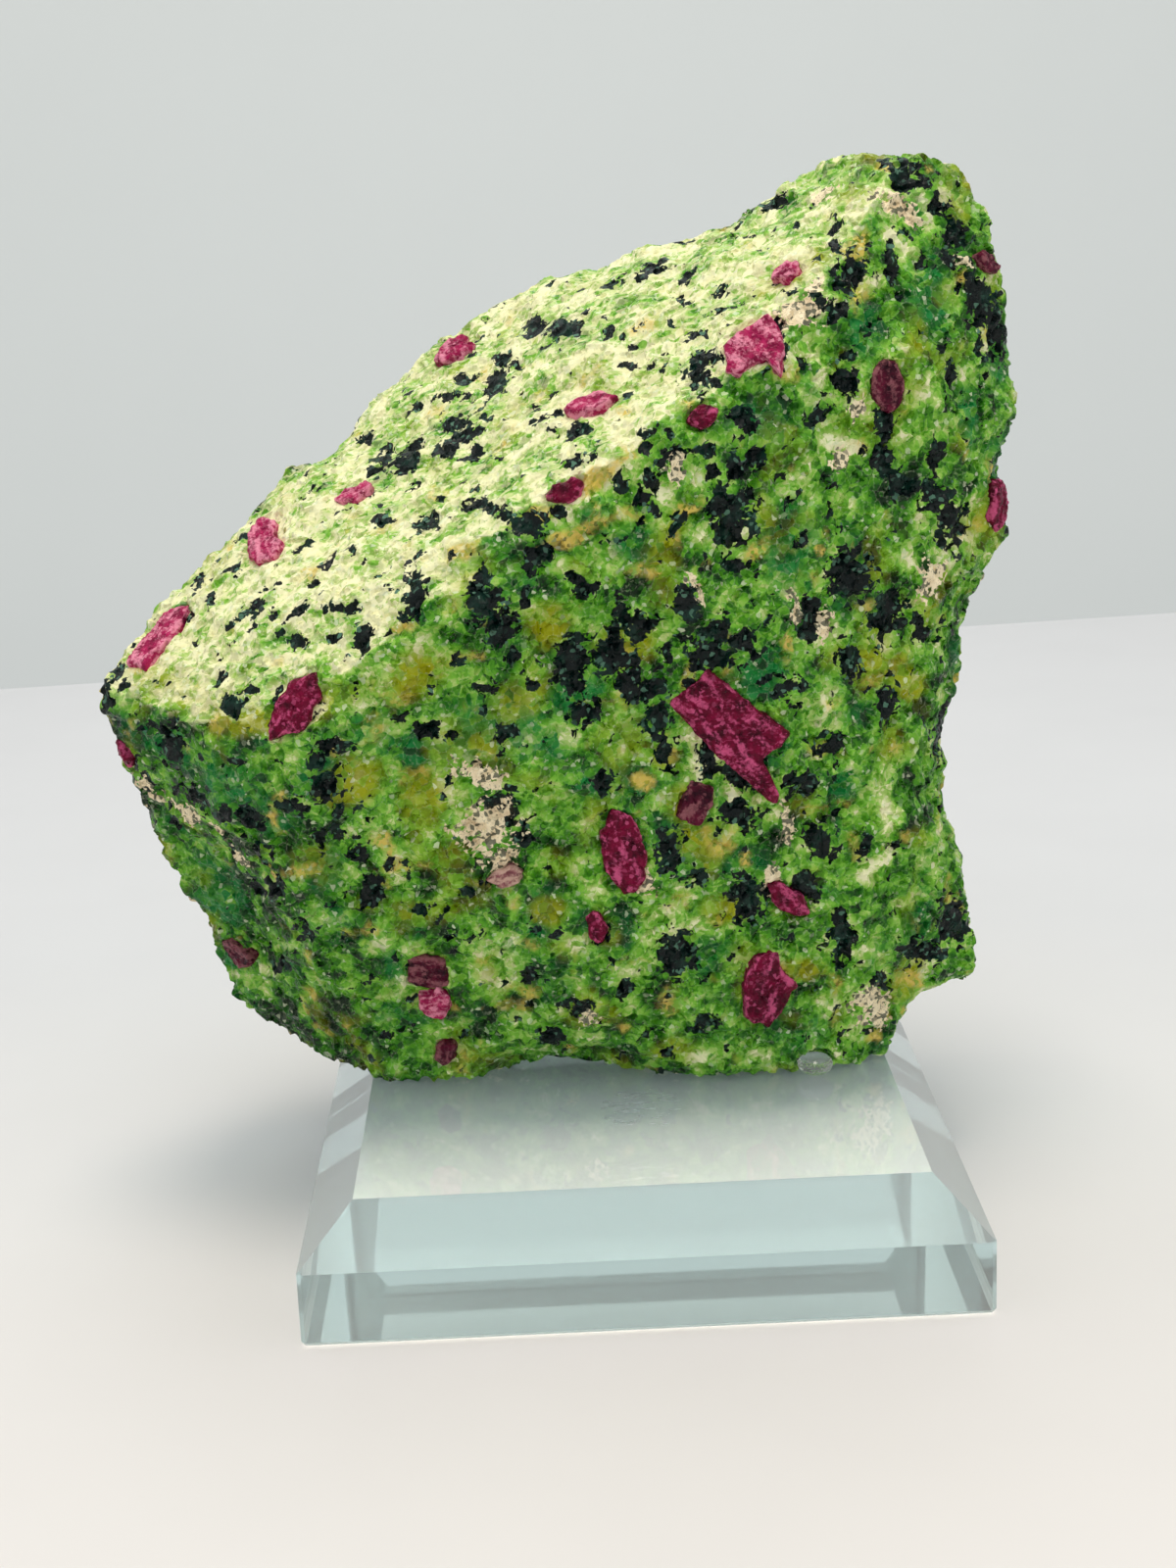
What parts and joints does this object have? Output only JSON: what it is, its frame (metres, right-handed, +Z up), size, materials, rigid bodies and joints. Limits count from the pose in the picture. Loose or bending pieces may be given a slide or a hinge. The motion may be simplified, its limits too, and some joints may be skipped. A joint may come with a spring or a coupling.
{
  "type": "ruby in zoisite specimen on a glass display stand",
  "caption": "Chunky angular block of green zoisite with dark red ruby crystals in its skin, resting on a square bevelled clear glass display stand.",
  "frame": {"origin": "centre of the glass stand's underside", "axes": "+Z up, -Y out of the stone's broad front face, +X towards the stone's high end"},
  "size_m": [0.1108, 0.0804, 0.1239],
  "materials": {
    "zoisite": "rough broken, granular",
    "ruby": "translucent crystal, satin",
    "stand_glass": "polished",
    "clear_gel": "glossy"
  },
  "bodies": {
    "root": {"zoisite_matrix": "zoisite", "glass_stand": "stand_glass", "clear_bead": "clear_gel", "ruby_long_bar": "ruby", "ruby_barrel": "ruby", "ruby_wedge": "ruby", "ruby_dull_patch": "ruby", "ruby_sliver": "ruby", "ruby_dark_block": "ruby", "ruby_pink_stub": "ruby", "ruby_low_trace": "ruby", "ruby_small_fleck": "ruby", "ruby_mauve_streak": "ruby", "ruby_left_bar": "ruby", "ruby_left_slab": "ruby", "ruby_left_rim": "ruby", "ruby_tip": "ruby", "ruby_pale_slab": "ruby", "ruby_rim": "ruby", "ruby_mid_slab": "ruby", "ruby_crest": "ruby", "ruby_brow": "ruby", "ruby_upper_fleck": "ruby", "ruby_ridge_fleck": "ruby", "ruby_hollow": "ruby", "ruby_right_side": "ruby", "ruby_low_left": "ruby", "ruby_nose": "ruby", "ruby_rear_bar": "ruby", "ruby_rear_block": "ruby", "ruby_rear_low": "ruby", "ruby_rear_left": "ruby", "ruby_right_rear": "ruby"}
  },
  "joints": []
}
